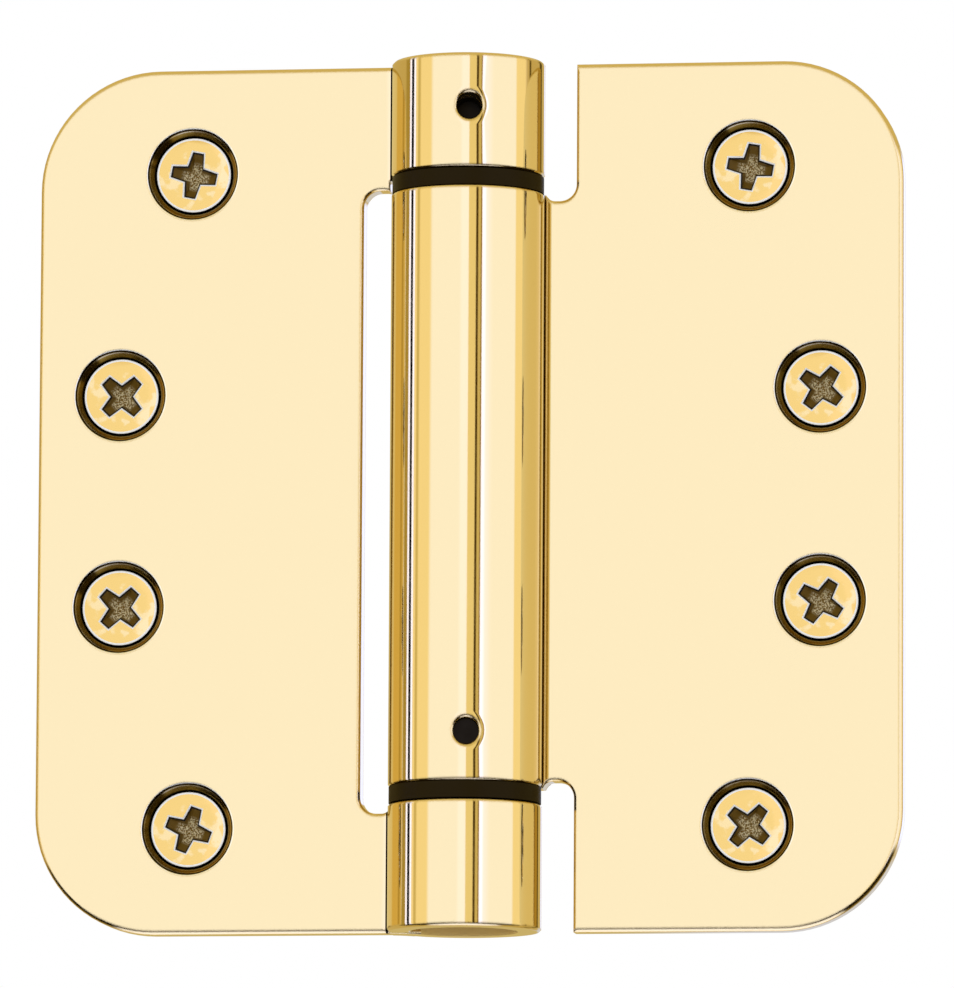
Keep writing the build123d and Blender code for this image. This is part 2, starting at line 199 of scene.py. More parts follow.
@dataclass(frozen=True)
class Finish:
    """What every finish has: a name, a base colour and a gloss."""

    name: str
    colour: str
    roughness: float
    metallic: float = 1.0

    def start(self) -> tuple[bpy.types.Material, Tree, bpy.types.Node]:
        """Make the bare material.

        Returns:
            The material, its node tree and its main shader node.
        """
        material = bpy.data.materials.new(self.name)
        material.use_nodes = True
        tree = material.node_tree
        shader = tree.nodes["Principled BSDF"]
        shader.inputs["Base Color"].default_value = linear(self.colour)
        shader.inputs["Roughness"].default_value = self.roughness
        shader.inputs["Metallic"].default_value = self.metallic
        return material, tree, shader

    def noise(
        self,
        tree: Tree,
        grain_mm: float,
        detail: float = 3.0,
        stretch: tuple[float, float, float] = (1.0, 1.0, 1.0),
    ) -> Socket:
        """Add a noise whose cells are about one grain wide.

        Args:
            tree: the material's node tree.
            grain_mm: the width of a cell, in millimetres.
            detail: how many finer layers lie on it.
            stretch: how much longer a cell is along each axis.

        Returns:
            The noise's value, from 0 to 1.
        """
        place = add_node(tree, "ShaderNodeTexCoord")
        scale = tuple(1 / (grain_mm * MM * part) for part in stretch)
        mapped = add_node(
            tree, "ShaderNodeMapping", links={"Vector": place.outputs["Object"], "Scale": scale}
        )
        cells = add_node(
            tree,
            "ShaderNodeTexNoise",
            links={"Vector": mapped.outputs[0], "Scale": 1.0, "Detail": detail},
        )
        return cells.outputs[0]

    def from_axis(self, tree: Tree, place: Socket) -> Socket:
        """Measure how far a point lies from the Z axis.

        Args:
            tree: the material's node tree.
            place: the point.

        Returns:
            The distance, in metres.
        """
        flat = add_node(
            tree, "ShaderNodeVectorMath", {"operation": "MULTIPLY"}, {0: place, 1: (1.0, 1.0, 0.0)}
        )
        radius = add_node(
            tree, "ShaderNodeVectorMath", {"operation": "LENGTH"}, {0: flat.outputs[0]}
        )
        return radius.outputs["Value"]

    def graded(
        self, tree: Tree, reach: Socket, colours: tuple[tuple[float, str], ...]
    ) -> Socket:
        """Colour a surface by how far or how deep it lies.

        Args:
            tree: the material's node tree.
            reach: the distance, in metres.
            colours: distances in millimetres and their colours, from the nearest on.

        Returns:
            The colour.
        """
        nearest, furthest = colours[0][0], colours[-1][0]
        share = add_node(
            tree,
            "ShaderNodeMapRange",
            links={"Value": reach, "From Min": nearest * MM, "From Max": furthest * MM},
        )
        ramp = add_node(tree, "ShaderNodeValToRGB", links={0: share.outputs[0]})
        stops = ramp.color_ramp.elements
        while len(stops) < len(colours):
            stops.new(1.0)
        for stop, (distance, colour) in zip(stops, colours):
            stop.position = (distance - nearest) / (furthest - nearest)
            stop.color = linear(colour)
        return ramp.outputs[0]

    def layered(self, tree: Tree, layers: tuple[tuple[object, object], ...]) -> Socket:
        """Lay colours over the base colour, each one where its mask is 1.

        Args:
            tree: the material's node tree.
            layers: the masks and their colours, from the lowest up.

        Returns:
            The colour.
        """
        colour = linear(self.colour)
        for mask, tint in layers:
            mixed = add_node(
                tree, "ShaderNodeMix", {"data_type": "RGBA"}, {0: mask, 6: colour, 7: tint}
            )
            colour = mixed.outputs[2]
        return colour

    def between(self, tree: Tree, value: Socket, low: float, high: float) -> Socket:
        """Pick out where a distance lies in a range.

        Args:
            tree: the material's node tree.
            value: the distance, in metres.
            low: the range's start, in millimetres.
            high: its end, in millimetres.

        Returns:
            1 inside the range and 0 outside.
        """
        middle, half = (low + high) / 2 * MM, (high - low) / 2 * MM
        inside = add_node(
            tree, "ShaderNodeMath", {"operation": "COMPARE"}, {0: value, 1: middle, 2: half}
        )
        return inside.outputs[0]


@dataclass(frozen=True)
class HolePlaces:
    """Where the brass is drilled, in metres.

    The screws' places are distances from the barrel's axis and from mid-height, and back is
    how far back the sheet's rear face lies.
    """

    middle: float
    back: float
    screws: tuple[tuple[float, float], ...]
    pins: tuple[tuple[float, float, float], ...]


@dataclass(frozen=True)
class PolishedBrass(Finish):
    """Sheet brass, buffed to a mirror and lacquered: clean reflections in warm pale gold.

    The countersinks carry painted shade and painted highlights: a black painted shadow by the
    head, a cone darkened as painted shade with a painted light band, a black line and a painted
    highlight on the lip. The barrel's inside is not buffed and its darker colour is painted shade,
    a black painted shadow lies in the root of the fold, and the buff has rounded the metal down
    towards the pin holes.
    """

    name: str = "polished_lacquered_brass"
    colour: str = "#F3DCA6"
    roughness: float = 0.045
    haze: float = 0.035
    haze_share: tuple[float, float] = (0.35, 0.75)
    buffing_mm: float = 6.0
    # Real wipe marks are finer, and would not show in a picture of the whole hinge.
    wipe_mm: float = 0.18
    wipe_detail: float = 1.0
    wipe_stretch: tuple[float, float, float] = (40.0, 1.0, 1.0)
    wipe_depth_mm: float = 0.00012
    edge_round_mm: float = 0.5
    edge_samples: int = 8
    # By distance from a screw's axis, all painted light and shade: a black painted shadow by the
    # head, the cone darkened as painted shade with a painted light band, a black line, and a
    # painted white highlight on the lip.
    sink_shade_and_highlight_colours: tuple[tuple[float, str], ...] = (
        (5.06, "#0A0600"),
        (5.22, "#1C1300"),
        (5.34, "#7E6424"),
        (5.68, "#8C7230"),
        (5.76, "#CDBF9C"),
        (5.84, "#5A4412"),
        (5.92, "#120B00"),
        (6.00, "#120B00"),
        (6.04, "#FFF6DC"),
        (6.17, "#FFF6DC"),
    )
    sink_roughness: float = 0.16
    # The bore's brass is unbuffed and dull; its darker colour is painted shade.
    bore_mm: float = 7.06
    bore_shaded_colour: str = "#DDBE74"
    bore_roughness: float = 0.55
    bore_metallic: float = 0.35
    # A black painted shadow lies in the root of the frame leaf's fold, beside the barrel.
    # Distances from the barrel's axis.
    fold_shadow_mm: tuple[float, float] = (10.42, 10.74)
    fold_shadow_front_mm: float = 3.0
    fold_shadow_colour: str = "#140C00"
    # Distances from a pin hole's middle.
    dish_mm: tuple[float, float] = (1.75, 2.7)
    dish_depth_mm: float = 0.05

    def make(self, holes: HolePlaces) -> bpy.types.Material:
        """Build the material: faint haze, hairline wipe marks and edges softened by the buff.

        Args:
            holes: where the leaves are drilled.

        Returns:
            The finished material.
        """
        material, tree, shader = self.start()
        place = add_node(tree, "ShaderNodeTexCoord").outputs["Object"]
        reach, in_sink = self.sink(tree, place, holes)
        radius = self.from_axis(tree, place)
        in_bore = self.between(tree, radius, 0.0, self.bore_mm)
        in_fold_shadow = self.fold_shadow(tree, place, radius)
        # The countersinks' colours are painted shade and painted highlights.
        painted_sink_shade_and_highlights = self.graded(tree, reach, self.sink_shade_and_highlight_colours)
        soft_edge = add_node(
            tree,
            "ShaderNodeBevel",
            {"samples": self.edge_samples},
            {"Radius": self.edge_round_mm * MM},
        ).outputs[0]
        shaded_bore, fold_shadow = linear(self.bore_shaded_colour), linear(self.fold_shadow_colour)
        colour = self.layered(tree, ((in_sink, painted_sink_shade_and_highlights), (in_bore, shaded_bore), (in_fold_shadow, fold_shadow)))
        tree.links.new(colour, shader.inputs["Base Color"])
        metal = add_node(
            tree,
            "ShaderNodeMapRange",
            links={"Value": in_bore, "To Min": self.metallic, "To Max": self.bore_metallic},
        )
        tree.links.new(metal.outputs[0], shader.inputs["Metallic"])
        haze = add_node(
            tree,
            "ShaderNodeMapRange",
            links={
                "Value": self.noise(tree, self.buffing_mm),
                "From Min": self.haze_share[0],
                "From Max": self.haze_share[1],
                "To Min": self.roughness,
                "To Max": self.roughness + self.haze,
            },
        )
        gloss = haze.outputs[0]
        for mask, roughness in ((in_sink, self.sink_roughness), (in_bore, self.bore_roughness)):
            mixed = add_node(tree, "ShaderNodeMix", links={0: mask, 2: gloss, 3: roughness})
            gloss = mixed.outputs[0]
        tree.links.new(gloss, shader.inputs["Roughness"])
        wipes = add_node(
            tree,
            "ShaderNodeBump",
            links={
                "Height": self.noise(tree, self.wipe_mm, self.wipe_detail, self.wipe_stretch),
                "Distance": self.wipe_depth_mm * MM,
                "Normal": soft_edge,
            },
        )
        dish = add_node(
            tree,
            "ShaderNodeBump",
            links={
                "Height": self.dish(tree, place, holes),
                "Distance": self.dish_depth_mm * MM,
                "Normal": wipes.outputs[0],
            },
        )
        tree.links.new(dish.outputs[0], shader.inputs["Normal"])
        return material

    def sink(self, tree: Tree, place: Socket, holes: HolePlaces) -> tuple[Socket, Socket]:
        """Find the countersinks, which lie mirrored about the barrel and about mid-height.

        Args:
            tree: the material's node tree.
            place: the point on the leaf.
            holes: where the leaves are drilled.

        Returns:
            The distance from the nearest screw's axis, and 1 in a countersink and 0 elsewhere.
        """
        centred = add_node(
            tree,
            "ShaderNodeVectorMath",
            {"operation": "SUBTRACT"},
            {0: place, 1: (0.0, 0.0, holes.middle)},
        )
        folded = add_node(
            tree, "ShaderNodeVectorMath", {"operation": "ABSOLUTE"}, {0: centred.outputs[0]}
        )
        flat = add_node(
            tree,
            "ShaderNodeVectorMath",
            {"operation": "MULTIPLY"},
            {0: folded.outputs[0], 1: (1.0, 0.0, 1.0)},
        )
        reaches = [
            add_node(
                tree,
                "ShaderNodeVectorMath",
                {"operation": "DISTANCE"},
                {0: flat.outputs[0], 1: (across, 0.0, up)},
            )
            for across, up in holes.screws
        ]
        nearest = add_node(
            tree,
            "ShaderNodeMath",
            {"operation": "MINIMUM"},
            {0: reaches[0].outputs["Value"], 1: reaches[1].outputs["Value"]},
        )
        reach = nearest.outputs[0]
        near = self.between(tree, reach, 0.0, self.sink_shade_and_highlight_colours[-1][0])
        parts = add_node(tree, "ShaderNodeSeparateXYZ", links={0: place})
        front = add_node(
            tree,
            "ShaderNodeMath",
            {"operation": "LESS_THAN"},
            {0: parts.outputs["Y"], 1: holes.back},
        )
        return reach, product(tree, [near, front.outputs[0]])

    def fold_shadow(self, tree: Tree, place: Socket, radius: Socket) -> Socket:
        """Find where the painted shadow goes: the root of the frame leaf's fold, on its front
        beside the barrel.

        Args:
            tree: the material's node tree.
            place: the point on the leaf.
            radius: its distance from the barrel's axis, in metres.

        Returns:
            1 in the painted shadow and 0 elsewhere.
        """
        parts = add_node(tree, "ShaderNodeSeparateXYZ", links={0: place})
        shares = [self.between(tree, radius, *self.fold_shadow_mm)]
        for axis, limit in (("X", 0.0), ("Y", self.fold_shadow_front_mm * MM)):
            below = add_node(
                tree,
                "ShaderNodeMath",
                {"operation": "LESS_THAN"},
                {0: parts.outputs[axis], 1: limit},
            )
            shares.append(below.outputs[0])
        return product(tree, shares)

    def dish(self, tree: Tree, place: Socket, holes: HolePlaces) -> Socket:
        """Round the barrel's surface down towards the pin holes.

        Args:
            tree: the material's node tree.
            place: the point on the barrel.
            holes: where the barrel is drilled.

        Returns:
            The surface's height, from 0 at a hole to 1 where the dish ends.
        """
        near, far = self.dish_mm
        heights = []
        for mouth in holes.pins:
            reach = add_node(
                tree, "ShaderNodeVectorMath", {"operation": "DISTANCE"}, {0: place, 1: mouth}
            )
            ground = add_node(
                tree,
                "ShaderNodeMapRange",
                {"interpolation_type": "SMOOTHSTEP"},
                {"Value": reach.outputs["Value"], "From Min": near * MM, "From Max": far * MM},
            )
            heights.append(ground.outputs[0])
        return product(tree, heights)


@dataclass(frozen=True)
class BrightPlating(Finish):
    """Bright brass plating on a cold-headed steel screw: deeper gold, a little softer."""

    name: str = "bright_brass_plating"
    colour: str = "#EEC772"
    roughness: float = 0.11
    cloud_mm: float = 2.6
    cloud_detail: float = 8.0
    cloud_share: tuple[float, float] = (0.52, 0.60)
    cloud_colour: str = "#F3D696"
    # Real plating pits are finer, and would not show on a head that is 80 pixels wide.
    pit_mm: float = 0.12
    pit_detail: float = 2.0
    pit_depth_mm: float = 0.0012
    # By distance from the axis: a painted white highlight on the rim and a painted black shadow on
    # the head's side.
    rim_highlight_and_shadow_colours: tuple[tuple[float, str], ...] = (
        (4.66, "#FFFFFF"),
        (4.90, "#FFFFFF"),
        (4.94, "#0A0700"),
        (5.10, "#0A0700"),
    )
    rim_below_mm: float = 1.2
    rim_roughness: float = 0.6
    rim_metallic: float = 0.0

    def make(self) -> bpy.types.Material:
        """Build the material: clouded colour, fine plating pits, a painted highlight on the rim and
        a painted shadow on its side.

        Returns:
            The finished material.
        """
        material, tree, shader = self.start()
        cloud = add_node(
            tree,
            "ShaderNodeMapRange",
            {"interpolation_type": "SMOOTHSTEP"},
            {
                "Value": self.noise(tree, self.cloud_mm, self.cloud_detail),
                "From Min": self.cloud_share[0],
                "From Max": self.cloud_share[1],
            },
        )
        reach, rim = self.rim(tree)
        # The rim's white is a painted highlight and the head's black side a painted shadow.
        painted_rim_light = self.graded(tree, reach, self.rim_highlight_and_shadow_colours)
        clouded = linear(self.cloud_colour)
        colour = self.layered(tree, ((cloud.outputs[0], clouded), (rim, painted_rim_light)))
        tree.links.new(colour, shader.inputs["Base Color"])
        for name, plain, worn in (
            ("Roughness", self.roughness, self.rim_roughness),
            ("Metallic", self.metallic, self.rim_metallic),
        ):
            dull = add_node(
                tree, "ShaderNodeMapRange", links={"Value": rim, "To Min": plain, "To Max": worn}
            )
            tree.links.new(dull.outputs[0], shader.inputs[name])
        pits = add_node(
            tree,
            "ShaderNodeBump",
            links={
                "Height": self.noise(tree, self.pit_mm, self.pit_detail),
                "Distance": self.pit_depth_mm * MM,
            },
        )
        tree.links.new(pits.outputs[0], shader.inputs["Normal"])
        return material

    def rim(self, tree: Tree) -> tuple[Socket, Socket]:
        """Find the rim of the head, which lies furthest from the axis and near the face.

        Args:
            tree: the material's node tree.

        Returns:
            The distance from the axis, and 1 on the rim and 0 elsewhere.
        """
        place = add_node(tree, "ShaderNodeTexCoord").outputs["Object"]
        reach = self.from_axis(tree, place)
        far = add_node(
            tree,
            "ShaderNodeMath",
            {"operation": "GREATER_THAN"},
            {0: reach, 1: self.rim_highlight_and_shadow_colours[0][0] * MM},
        )
        parts = add_node(tree, "ShaderNodeSeparateXYZ", links={0: place})
        near_face = add_node(
            tree,
            "ShaderNodeMath",
            {"operation": "LESS_THAN"},
            {0: parts.outputs["Z"], 1: self.rim_below_mm * MM},
        )
        return reach, product(tree, [far.outputs[0], near_face.outputs[0]])


@dataclass(frozen=True)
class StampedRecess(Finish):
    """The punched cross recess in painted light and shade: a painted highlight on the lip, a
    painted black shadow below it, then walls in brown painted shade.
    """

    name: str = "stamped_screw_recess"
    colour: str = "#8A6A14"
    roughness: float = 0.5
    metallic: float = 0.2
    # By depth below the head's face: a painted highlight, a painted black shadow, then brown
    # painted shade that lightens deeper down.
    recess_shade_and_highlight_colours: tuple[tuple[float, str], ...] = (
        (0.0, "#FFFFFF"),
        (0.15, "#FFFFFF"),
        (0.19, "#040200"),
        (0.36, "#040200"),
        (0.46, "#6A4E04"),
        (1.4, "#7E5F0A"),
        (3.0, "#94711C"),
    )
    floor_colour: str = "#FFF4CC"
    floor_from_mm: float = 1.4
    floor_to_mm: float = 2.3
    speckle_share: tuple[float, float] = (0.46, 0.55)
    speckle_least: float = 0.05
    torn_mm: float = 0.22
    torn_detail: float = 4.0
    torn_depth_mm: float = 0.07

    def make(self) -> bpy.types.Material:
        """Build the material: walls graded in painted shade and painted highlight, and a torn floor
        with bright speckles.

        Returns:
            The finished material.
        """
        material, tree, shader = self.start()
        place = add_node(tree, "ShaderNodeTexCoord")
        parts = add_node(tree, "ShaderNodeSeparateXYZ", links={0: place.outputs["Object"]})
        torn = self.noise(tree, self.torn_mm, self.torn_detail)
        depth = add_node(
            tree,
            "ShaderNodeMapRange",
            {"interpolation_type": "SMOOTHSTEP"},
            {
                "Value": parts.outputs["Z"],
                "From Min": self.floor_from_mm * MM,
                "From Max": self.floor_to_mm * MM,
            },
        )
        speckle = add_node(
            tree,
            "ShaderNodeMapRange",
            links={
                "Value": torn,
                "From Min": self.speckle_share[0],
                "From Max": self.speckle_share[1],
                "To Min": self.speckle_least,
            },
        )
        share = product(tree, [depth.outputs[0], speckle.outputs[0]])
        # The walls' colours are painted highlight and painted shade, by depth.
        shaded_wall = self.graded(tree, parts.outputs["Z"], self.recess_shade_and_highlight_colours)
        tint = add_node(
            tree,
            "ShaderNodeMix",
            {"data_type": "RGBA"},
            {0: share, 6: shaded_wall, 7: linear(self.floor_colour)},
        )
        tree.links.new(tint.outputs[2], shader.inputs["Base Color"])
        bump = add_node(
            tree, "ShaderNodeBump", links={"Height": torn, "Distance": self.torn_depth_mm * MM}
        )
        tree.links.new(bump.outputs[0], shader.inputs["Normal"])
        return material


@dataclass(frozen=True)
class MouldedNylon(Finish):
    """Black moulded nylon: a satin skin with a very fine mould texture."""

    name: str = "moulded_black_nylon"
    colour: str = "#241A02"
    roughness: float = 0.42
    metallic: float = 0.0
    refraction: float = 1.53
    gloss: float = 0.05
    # A real mould's texture is finer, and would not show on the narrow flanges.
    texture_mm: float = 0.15
    texture_detail: float = 2.0
    texture_depth_mm: float = 0.004

    def make(self) -> bpy.types.Material:
        """Build the material.

        Returns:
            The finished material.
        """
        material, tree, shader = self.start()
        shader.inputs["IOR"].default_value = self.refraction
        shader.inputs["Specular IOR Level"].default_value = self.gloss
        skin = self.noise(tree, self.texture_mm, self.texture_detail)
        bump = add_node(
            tree, "ShaderNodeBump", links={"Height": skin, "Distance": self.texture_depth_mm * MM}
        )
        tree.links.new(bump.outputs[0], shader.inputs["Normal"])
        return material


@dataclass(frozen=True)
class TurnedSteel(Finish):
    """Turned steel under a thin coat: fine tool marks that run round the axis."""

    name: str = "turned_steel"
    colour: str = "#B9BCC0"
    roughness: float = 0.3
    # Real tool marks are finer, and would not show on pieces this small.
    mark_mm: float = 0.12
    mark_detail: float = 1.0
    mark_stretch: tuple[float, float, float] = (60.0, 60.0, 1.0)
    mark_depth_mm: float = 0.003
    tint_mm: float = 3.0
    tint_detail: float = 4.0
    tint: str = "#A9A48F"

    def make(self) -> bpy.types.Material:
        """Build the material: clouded coat and turning marks.

        Returns:
            The finished material.
        """
        material, tree, shader = self.start()
        cloud = self.noise(tree, self.tint_mm, self.tint_detail)
        colour = self.layered(tree, ((cloud, linear(self.tint)),))
        tree.links.new(colour, shader.inputs["Base Color"])
        marks = add_node(
            tree,
            "ShaderNodeBump",
            links={
                "Height": self.noise(tree, self.mark_mm, self.mark_detail, self.mark_stretch),
                "Distance": self.mark_depth_mm * MM,
            },
        )
        tree.links.new(marks.outputs[0], shader.inputs["Normal"])
        return material


@dataclass
class Leaves:
    """The two rolled brass leaves."""

    finish: PolishedBrass = PolishedBrass()
    nodes: tuple[str, ...] = ("frame_leaf", "door_leaf")
    barrel_radius: float = 10.05
    pin_hole_heights: tuple[float, ...] = (107.3, 25.35)
    pin_hole_turn: float = 8.5
    sheet_back: float = 4.85
    measured_screws: tuple[str, ...] = ("door_screw_1", "door_screw_2")

    def dress(self, frame: dict) -> None:
        """Give the leaves their finish.

        Args:
            frame: the loaded frame.
        """
        material = self.finish.make(self.holes())
        for name in self.nodes:
            put_on(frame["nodes"][name], material)

    def holes(self) -> HolePlaces:
        """Work out where the leaves are drilled, the screws' places from their own nodes.

        Returns:
            The places of all holes.
        """
        low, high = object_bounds()
        middle = (low.z + high.z) / 2
        screws = []
        for node in self.measured_screws:
            start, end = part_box(node)
            screws.append(((start.x + end.x) / 2, abs((start.z + end.z) / 2 - middle)))
        turn = math.radians(self.pin_hole_turn)
        reach = self.barrel_radius * MM
        pins = tuple(
            (reach * math.sin(turn), -reach * math.cos(turn), height * MM)
            for height in self.pin_hole_heights
        )
        return HolePlaces(middle, self.sheet_back * MM, tuple(screws), pins)


@dataclass
class BarrelWorks:
    """What is inside the barrel and between its knuckles."""

    nylon: tuple[str, ...] = ("upper_bearing", "lower_bearing")
    blackened: tuple[str, ...] = ("tension_adjuster", "anchor_pin")
    zinc: tuple[str, ...] = ("thrust_washer", "lower_pivot", "spring_anchor", "centre_rod")
    spring: tuple[str, ...] = ("torsion_spring", "retaining_ring")

    def dress(self, frame: dict) -> None:
        """Give each inner piece its finish.

        Args:
            frame: the loaded frame.
        """
        black_oxide = TurnedSteel(
            "black_oxide_steel", colour="#2A2622", roughness=0.34, tint="#17130E"
        )
        oiled = TurnedSteel(
            "oil_tempered_spring_steel", colour="#6E6C68", roughness=0.36, tint="#4D4238"
        )
        for names, finish in (
            (self.nylon, MouldedNylon()),
            (self.blackened, black_oxide),
            (self.zinc, TurnedSteel("zinc_plated_steel")),
            (self.spring, oiled),
        ):
            material = finish.make()
            for name in names:
                put_on(frame["nodes"][name], material)


@dataclass
class WindingSpring:
    """The torsion spring, which winds up as the leaf swings and as the adjuster is turned.

    It is shown as two halves, one for each joint, left unattached to the bodies, so they do not
    twist. They part between two turns of the coil, where only a slanted stretch of wire is cut.
    The halves take the finish that the whole spring has by then.
    """

    node: str = "torsion_spring"
    turns: int = 7
    wire: float = 2.2
    bent_end: float = 3.85
    weld: float = 0.001
    sharp_angle: float = 35.0

    def dress(self, frame: dict) -> None:
        """Put the two halves in the spring's place.

        Args:
            frame: the loaded frame.
        """
        low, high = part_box(self.node)
        pitch = (high.z - low.z - 2 * self.bent_end * MM) / (self.turns - 1)
        parting = (low.z + high.z) / 2 + pitch / 2
        straight = (self.bent_end + self.wire / 2) * MM
        for half, bodies, span in (
            ("lower", ("door_side", "frame_side"), (low.z + straight, parting)),
            ("upper", ("frame_side", "adjuster"), (parting, high.z - straight)),
        ):
            mesh = self.cut(frame["nodes"][self.node], parting, half == "lower")
            piece = new_object(f"{self.node}_{half}_half", mesh)
            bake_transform(piece)
            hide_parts(self.node)
            log.info("wound %s between %s and %s", piece.name, *bodies)

    def cut(self, spring: bpy.types.Object, height: float, lower: bool) -> bpy.types.Mesh:
        """Copy the part of the spring on one side of a level plane, and close it.

        Args:
            spring: the whole spring.
            height: the plane's height, in metres.
            lower: whether the part below is kept, rather than the one above.

        Returns:
            The new mesh, in place.
        """
        mesh = spring.data.copy()
        mesh.transform(spring.matrix_world)
        made = bmesh.new()
        made.from_mesh(mesh)
        bmesh.ops.remove_doubles(made, verts=made.verts, dist=self.weld * MM)
        bmesh.ops.bisect_plane(
            made,
            geom=made.verts[:] + made.edges[:] + made.faces[:],
            plane_co=(0.0, 0.0, height),
            plane_no=(0.0, 0.0, 1.0),
            clear_outer=lower,
            clear_inner=not lower,
        )
        bmesh.ops.holes_fill(made, edges=[edge for edge in made.edges if edge.is_boundary])
        made.to_mesh(mesh)
        made.free()
        mesh.shade_smooth()
        mesh.set_sharp_from_angle(angle=math.radians(self.sharp_angle))
        return mesh


@dataclass(frozen=True)
class WoodScrew:
    """A number 12 flat-head wood screw, made along +Z with its head's face at the origin."""

    head_radius: float = 4.994
    head_rim: float = 0.2
    head_round: float = 0.2
    head_round_steps: int = 3
    cone_angle: float = 41.0
    shank_radius: float = 2.74
    smooth_to: float = 11.0
    length: float = 31.75
    root_radius: float = 1.85
    pitch: float = 2.31
    point_length: float = 7.0
    run_in: float = 2.0
    around: int = 48
    recess_span: float = 6.1
    recess_floor_span: float = 2.4
    recess_arm: float = 1.5
    recess_floor_arm: float = 1.15
    recess_depth: float = 2.5
    recess_web: float = 1.5
    recess_lip: float = 0.17
    recess_step: float = 0.16
    punch_above: float = 0.4
    punch_tip: float = 0.5
    weld: float = 0.002
    sliver: float = 0.001
    sharp_angle: float = 35.0
    crest: tuple[tuple[float, float], ...] = (
        (0.0, 0.0),
        (0.22, 0.05),
        (0.45, 1.0),
        (0.55, 1.0),
        (0.78, 0.05),
    )

    def head_profile(self) -> list[tuple[float, float]]:
        """Radii and depths from the face's rim down to the end of the smooth shank.

        Returns:
            A list of (radius, depth).
        """
        slope = math.tan(math.radians(self.cone_angle))
        turn = math.pi / 2 / self.head_round_steps
        neck = self.head_rim + (self.head_radius - self.shank_radius) / slope
        rounding = [
            (
                self.head_radius - self.head_round * (1 - math.sin(step * turn)),
                self.head_round * (1 - math.cos(step * turn)),
            )
            for step in range(self.head_round_steps + 1)
        ]
        return rounding + [
            (self.head_radius, self.head_rim),
            (self.shank_radius, neck),
            (self.shank_radius, self.smooth_to - self.run_in / 2),
            (self.root_radius, self.smooth_to),
        ]

    def thread_radius(self, depth: float, height: float) -> float:
        """Radius of the thread's surface.

        Args:
            depth: distance below the head's face.
            height: 0 at the root and 1 at the crest.

        Returns:
            The radius, which runs out to nothing at the point.
        """
        left = max(0.0, self.length - depth)
        taper = min(1.0, left / self.point_length)
        sharpened = math.sqrt(taper) if taper < 1 else 1.0
        grown = min(1.0, max(0.0, (depth - self.smooth_to) / self.run_in))
        rise = (self.shank_radius - self.root_radius) * height * grown
        return self.root_radius * taper + rise * sharpened * min(1.0, left / self.pitch)

    def body(self) -> bmesh.types.BMesh:
        """Build head, smooth shank, thread and point as one closed mesh.

        Returns:
            The mesh, in millimetres.
        """
        mesh = bmesh.new()
        turns = [i / self.around for i in range(self.around)]
        rings = [
            [self.point(mesh, radius, depth, turn) for turn in turns]
            for radius, depth in self.head_profile()
        ]
        self.skin(mesh, rings)
        self.add_thread(mesh)
        bmesh.ops.remove_doubles(mesh, verts=mesh.verts, dist=self.weld)
        bmesh.ops.dissolve_degenerate(mesh, edges=mesh.edges, dist=self.sliver)
        bmesh.ops.recalc_face_normals(mesh, faces=mesh.faces)
        return mesh

    def point(
        self, mesh: bmesh.types.BMesh, radius: float, depth: float, turn: float
    ) -> bmesh.types.BMVert:
        """Add one vertex of the screw.

        Args:
            mesh: the mesh that takes it.
            radius: its distance from the axis.
            depth: its distance below the head's face.
            turn: its share of a turn round the axis.

        Returns:
            The vertex.
        """
        angle = 2 * math.pi * turn
        return mesh.verts.new((radius * math.cos(angle), radius * math.sin(angle), depth))

    def skin(self, mesh: bmesh.types.BMesh, rings: list[list[bmesh.types.BMVert]]) -> None:
        """Join rings of vertices by faces, and close the first ring.

        Args:
            mesh: the mesh that takes the faces.
            rings: the rings, from the top down.
        """
        for upper, lower in zip(rings, rings[1:]):
            for i in range(len(upper)):
                j = (i + 1) % len(upper)
                mesh.faces.new((upper[i], upper[j], lower[j], lower[i]))
        mesh.faces.new(reversed(rings[0]))

    def add_thread(self, mesh: bmesh.types.BMesh) -> None:
        """Add the helical thread, whose crest winds down to the point.

        Args:
            mesh: the mesh that takes it.
        """
        turns = math.ceil((self.length - self.smooth_to) / self.pitch) + 2
        steps = len(self.crest)
        rows: list[list[bmesh.types.BMVert]] = []
        for number in range(turns * steps):
            offset, height = self.crest[number % steps]
            row = []
            for i in range(self.around):
                turn = i / self.around
                depth = self.smooth_to + (number // steps - 1 + offset + turn) * self.pitch
                depth = min(max(depth, self.smooth_to), self.length)
                row.append(self.point(mesh, self.thread_radius(depth, height), depth, turn))
            rows.append(row)
        for number, (row, below) in enumerate(zip(rows, rows[1:])):
            for i in range(self.around - 1):
                mesh.faces.new((row[i], row[i + 1], below[i + 1], below[i]))
            if number + steps + 1 < len(rows):
                low, high = rows[number + steps], rows[number + steps + 1]
                mesh.faces.new((row[-1], low[0], high[0], below[-1]))

    def recess(self) -> bmesh.types.BMesh:
        """Build the tapered cross that is cut into the head.

        Returns:
            The cutter, in millimetres.
        """
        mesh = bmesh.new()
        lip, step = self.recess_lip, self.recess_step
        reach = self.recess_span / 2
        floor = self.recess_floor_span / 2
        arm = self.recess_arm / 2
        floor_arm = self.recess_floor_arm / 2
        web = self.recess_web / 2 / math.cos(math.pi / 4)
        outlines = []
        for depth, far, half, inner in (
            (-self.punch_above, reach + lip, arm + lip, web + lip),
            (0.0, reach + lip, arm + lip, web + lip),
            (lip, reach, arm, web),
            (lip + step, reach - step, arm - step, web - step),
            (self.recess_depth, floor, floor_arm, floor_arm),
        ):
            ring = []
            for quarter in range(4):
                spin = Matrix.Rotation(quarter * math.pi / 2, 3, "Z")
                for x, y in ((far, -half), (far, half), (inner, inner)):
                    place = spin @ Vector((x, y, 0))
                    ring.append(mesh.verts.new((place.x, place.y, depth)))
            outlines.append(ring)
        self.skin(mesh, outlines)
        tip = mesh.verts.new((0, 0, self.recess_depth + self.punch_tip))
        floor_ring = outlines[-1]
        for i in range(len(floor_ring)):
            mesh.faces.new((floor_ring[i], floor_ring[(i + 1) % len(floor_ring)], tip))
        bmesh.ops.recalc_face_normals(mesh, faces=mesh.faces)
        return mesh

